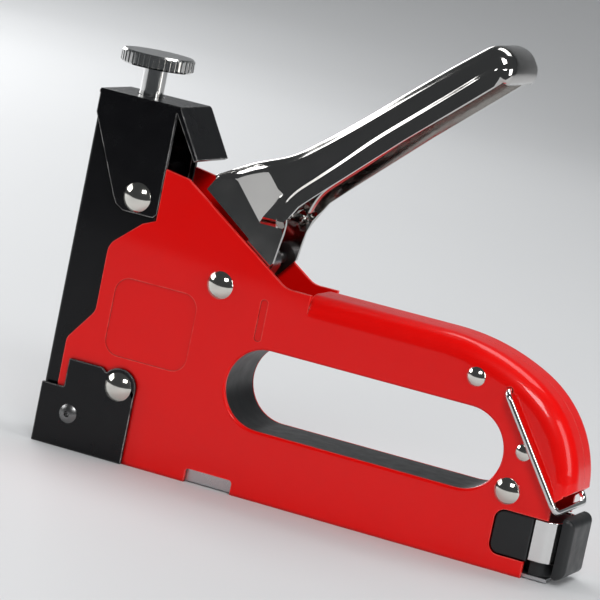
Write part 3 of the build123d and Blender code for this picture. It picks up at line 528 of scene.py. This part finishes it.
def arc(centre, radius, turn, steps):
    """Points on a circle from the first angle to the second, in degrees."""
    start, end = (math.radians(a) for a in turn)
    angles = [start + (end - start) * i / steps for i in range(steps + 1)]
    return [Vector((centre[0] + radius * math.cos(a), centre[1] + radius * math.sin(a))) for a in angles]


def spaced(line, gap):
    """The line with its longer runs divided."""
    result = []
    for a, b in zip(line, line[1:]):
        count = max(1, round((b - a).length / gap))
        result += [a + (b - a) * i / count for i in range(count)]
    return result + [line[-1]]


def inward_normals(line):
    """Unit normals to the right of the direction of travel."""
    normals = []
    for i in range(len(line)):
        along = line[min(i + 1, len(line) - 1)] - line[max(i - 1, 0)]
        normals.append(Vector((along.y, -along.x)).normalized())
    return normals


def shifted(line, offsets, width):
    """Copies of the line to its right, each by its offset times the width at the point."""
    dense = spaced(line, FOLD_GAP)
    normals = inward_normals(dense)
    return [[p + n * offset * width(p) for p, n in zip(dense, normals)] for offset in offsets]


def signed_distance(line, point):
    """Distance from an open line, positive on its right."""
    best = None
    for a, b in zip(line, line[1:]):
        along = b - a
        t = max(0.0, min(1.0, (point - a).dot(along) / along.length_squared))
        gap = point - (a + along * t)
        side = along.x * gap.y - along.y * gap.x
        if best is None or gap.length < abs(best):
            best = gap.length if side <= 0 else -gap.length
    return best


def inside(outline, point):
    """Whether the point lies in the closed outline."""
    found = False
    for a, b in zip(outline, outline[1:] + outline[:1]):
        if (a.y > point.y) != (b.y > point.y):
            if point.x < a.x + (b.x - a.x) * (point.y - a.y) / (b.y - a.y):
                found = not found
    return found


def ramp(value, start, end):
    """Smooth rise from 0 at start to 1 at end."""
    t = max(0.0, min(1.0, (value - start) / (end - start)))
    return t * t * (3 - 2 * t)


def ledge_width(point):
    """Half the width of the rounded ledge, growing towards the tip."""
    return LEDGE_WIDTH[0] + (LEDGE_WIDTH[1] - LEDGE_WIDTH[0]) * ramp(point.x, *LEDGE_GROWTH_X)


def lever_half_width(point, ledge, step):
    """Half width of the lever at a point of its side: arm, facet, grip or outer flange."""
    away = (point - FOLD_START).dot(FOLD_ACROSS)
    side = ARM_HALF + (GRIP_HALF - ARM_HALF) * max(0.0, min(1.0, away / FACET_REACH))
    if point.y < FACET_STEP[-1][1] and signed_distance(step, point) > FACET_STEP_WIDTH / 2:
        side = GRIP_HALF
    width = ledge_width(point)
    side += (FLANGE_HALF - GRIP_HALF) * ramp(signed_distance(ledge, point), -width, width)
    lift = (point.y - SKIRT_Z[0]) / (SKIRT_Z[1] - SKIRT_Z[0])
    return ARM_HALF + (side - ARM_HALF) * max(0.0, min(1.0, lift))


def lever_back():
    """The line of the back, from the arm round the tip, and the corner radius at each point."""
    back = smooth_line(LEVER_BACK, BACK_STEPS)[:-1] + arc(TIP_CENTRE, TIP_R, TIP_TURN, TIP_STEPS)
    radii = []
    for i, point in enumerate(back):
        radius = LEVER_CORNER_R + (TIP_CORNER_R - LEVER_CORNER_R) * ramp(point.x, *TIP_GROWTH_X)
        from_start = START_SHARE + i / START_POINTS
        from_end = END_SHARE + (len(back) - 1 - i) / END_POINTS
        radii.append(radius * min(1.0, from_start, from_end))
    return back, radii


def lever_outline(corner_edge):
    """Outline of the flat side: the edge of the rounded corner, the front, the eye and the arm."""
    front = spaced([Vector(p) for p in LEVER_FRONT], OUTLINE_GAP)
    eye = arc(PIVOT, EYE_R, EYE_TURN, EYE_STEPS)
    rear = spaced([Vector(p) for p in ARM_REAR], OUTLINE_GAP)
    return corner_edge + front + eye + rear


def lever_folds(ledge, step):
    """The lines along which the side bends: ledge, skirt, the facet's lower end and its two folds."""
    folds = shifted(ledge, LEDGE_RUN, ledge_width)
    for height in SKIRT_Z:
        folds.append(spaced([Vector((x, height)) for x in SKIRT_X], SKIRT_GAP))
    folds += shifted(step, (0.0, FACET_STEP_WIDTH), lambda point: 1.0)
    folds.append(spaced([FOLD_START, FOLD_END], FOLD_GAP))
    far_start = FOLD_START + FOLD_ACROSS * FACET_REACH
    far_end = FOLD_END + FOLD_ACROSS * FACET_REACH - FOLD_WAY * FACET_SHORTER
    folds.append(spaced([far_start, far_end], FOLD_GAP))
    return folds


def fill_points(outline, points):
    """Points in staggered rows inside the outline, clear of the given ones."""
    placed = np.array([(p.x, p.y) for p in points])
    low, high = placed.min(0), placed.max(0)
    found = []
    for row in range(int((high[1] - low[1]) / FILL_GAP)):
        for column in range(int((high[0] - low[0]) / FILL_GAP)):
            p = Vector((low[0] + FILL_GAP * (column + 0.5 * (row % 2)), low[1] + FILL_GAP * row))
            if inside(outline, p):
                nearest = np.min(np.hypot(placed[:, 0] - p.x, placed[:, 1] - p.y))
                if nearest > FILL_CLEARANCE * FILL_GAP:
                    found.append(p)
    return found


def triangle_middle(triangle, points):
    return sum((points[i] for i in triangle), Vector((0, 0))) / 3


def side_triangles(outline, hole, folds):
    """Points and triangles of the flat side, with edges along the outline, the hole and the folds."""
    points = []
    lines = []
    for ring in (outline, hole):
        start = len(points)
        points += ring
        lines += [(start + i, start + (i + 1) % len(ring)) for i in range(len(ring))]
    for fold in folds:
        kept = [p for p in fold if inside(outline, p)]
        start = len(points)
        points += kept
        lines += [(start + i, start + i + 1) for i in range(len(kept) - 1)]
    points += fill_points(outline, points)
    flat, _, triangles, *_ = delaunay_2d_cdt(points, lines, [], 0, LINE_TOLERANCE)
    kept = []
    for triangle in triangles:
        middle = triangle_middle(triangle, flat)
        if inside(outline, middle) and not inside(hole, middle):
            kept.append(triangle)
    return flat, kept


def add_vertex(mesh, point, y):
    return mesh.verts.new(((point.x + NOSE_X) * MM, y * MM, point.y * MM))


def add_sides(mesh, flat, triangles, ledge, step):
    """Both sides, folded out to their width; only the ledge is shaded smooth."""
    for side in (-1, 1):
        skin = [add_vertex(mesh, p, side * lever_half_width(p, ledge, step)) for p in flat]
        for triangle in triangles:
            corners = triangle if side < 0 else reversed(triangle)
            face = mesh.faces.new([skin[i] for i in corners])
            middle = triangle_middle(triangle, flat)
            face.smooth = abs(signed_distance(ledge, middle)) < ledge_width(middle)


def add_back(mesh, back, normals, radii, corner_edge, ledge, step):
    """The web of the back, with its rounded corners, from the left side to the right."""
    bends = [math.radians(90 * k / CORNER_STEPS) for k in range(CORNER_STEPS + 1)]
    rows = []
    for p, n, r, edge in zip(back, normals, radii, corner_edge):
        half = lever_half_width(edge, ledge, step)
        left = [(p + n * (r * (1 - math.cos(b))), -(half - r + r * math.sin(b))) for b in reversed(bends)]
        right = [(q, -y) for q, y in reversed(left)]
        rows.append([add_vertex(mesh, q, y) for q, y in left + [(p, 0.0)] + right])
    for first, second in zip(rows, rows[1:]):
        for a, b, c, d in zip(first, first[1:], second[1:], second):
            mesh.faces.new((a, d, c, b)).smooth = True


def lever_mesh():
    """Outer skin of the pressed lever, with its two sides and its back joined at the corners."""
    back, radii = lever_back()
    normals = inward_normals(back)
    corner_edge = [p + n * r for p, n, r in zip(back, normals, radii)]
    ledge = smooth_line(LEDGE, LEDGE_STEPS)
    step = [Vector(p) for p in FACET_STEP]
    hole = arc(PIVOT, BUSH_HOLE_R, BUSH_HOLE_TURN, BUSH_HOLE_STEPS)
    flat, triangles = side_triangles(lever_outline(corner_edge), hole, lever_folds(ledge, step))
    mesh = bmesh.new()
    add_sides(mesh, flat, triangles, ledge, step)
    add_back(mesh, back, normals, radii, corner_edge, ledge, step)
    bmesh.ops.remove_doubles(mesh, verts=mesh.verts, dist=MERGE_GAP)
    bmesh.ops.delete(mesh, geom=[v for v in mesh.verts if not v.link_faces], context="VERTS")
    result = bpy.data.meshes.new("squeeze_lever")
    mesh.to_mesh(result)
    mesh.free()
    return result


def make_lever(finish):
    """The lever as one sheet of steel, thickened inwards from its outer skin."""
    lever = bpy.data.objects.new("squeeze_lever", lever_mesh())
    bpy.context.scene.collection.objects.link(lever)
    lever.data.materials.append(finish)
    sheet = lever.modifiers.new("sheet", "SOLIDIFY")
    sheet.thickness = LEVER_SHEET * MM
    sheet.offset = -1
    sheet.use_even_offset = False
    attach(lever, "lever")
    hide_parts("lever_handle")


# ---------------------------------------------------------------- springs copied from the frame
# spring: body it stands on, joint that shortens it, number of its axis, and its fixed end: 0 low or 1 high
SHORTENING = {
    "main_spring": ("housing", "plunger_slide", 2, 1),
    "pusher_spring": ("magazine", "pusher_slide", 0, 1),
    "left_button_spring": ("magazine", "left_button_press", 1, 1),
    "right_button_spring": ("magazine", "right_button_press", 1, 0),
}


def make_shortening_springs():
    """The same springs as in the frame, as separate pieces attached to their bodies."""
    for node, (body, joint, axis, fixed_end) in SHORTENING.items():
        spring = bpy.data.objects.new(node + "_shortening", frame["nodes"][node].data.copy())
        bpy.context.scene.collection.objects.link(spring)
        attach(spring, body)
        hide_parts(node)
        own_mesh(spring)


make_camera()
make_studio()
finishes = make_materials()
keep_frame_pieces(finishes)
make_lever(finishes["dark_chrome"])
make_shortening_springs()
